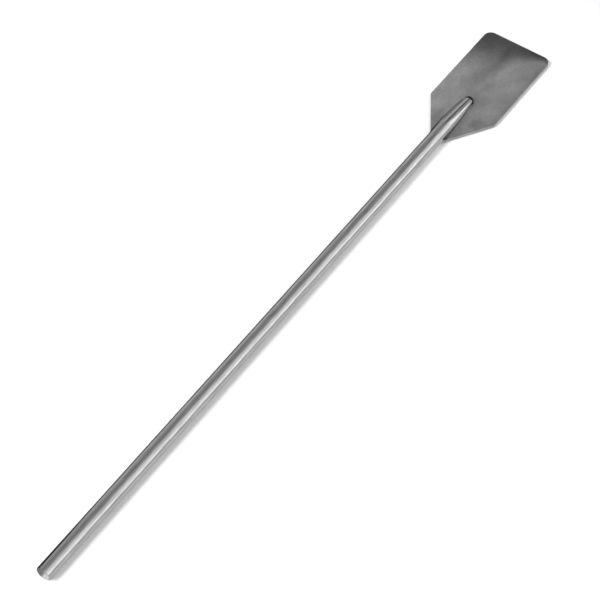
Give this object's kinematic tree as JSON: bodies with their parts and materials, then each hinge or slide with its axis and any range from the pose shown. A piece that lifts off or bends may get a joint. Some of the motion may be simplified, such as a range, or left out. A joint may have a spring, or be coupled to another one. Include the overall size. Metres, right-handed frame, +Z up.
{
  "type": "mortar mixing paddle",
  "caption": "Hand mixing paddle: long round stainless steel tube handle with a capped butt and a tapered nose welded over a flat plate blade with sloped shoulders and rounded outer corners.",
  "frame": {"origin": "under the middle of the paddle's length and width, on the surface it rests on", "axes": "+X along the handle from the butt to the blade, +Y across the blade to the left of the handle, +Z up out of the blade's upper face"},
  "size_m": [1.219, 0.1216, 0.024],
  "materials": {
    "tube_steel": "polished stainless steel",
    "blade_steel": "satin mill-finish stainless steel",
    "cap_steel": "polished stainless steel",
    "ground_weld": "stainless weld ground flush and polished",
    "weld_metal": "stainless filler as welded, dark with oxide"
  },
  "bodies": {
    "root": {"handle_tube": "tube_steel", "blade": "blade_steel", "butt_cap": "cap_steel", "butt_weld": "ground_weld", "top_weld_left": "weld_metal", "top_weld_right": "weld_metal", "top_weld_tip": "weld_metal", "bottom_weld_left": "weld_metal", "bottom_weld_right": "weld_metal"}
  },
  "joints": []
}
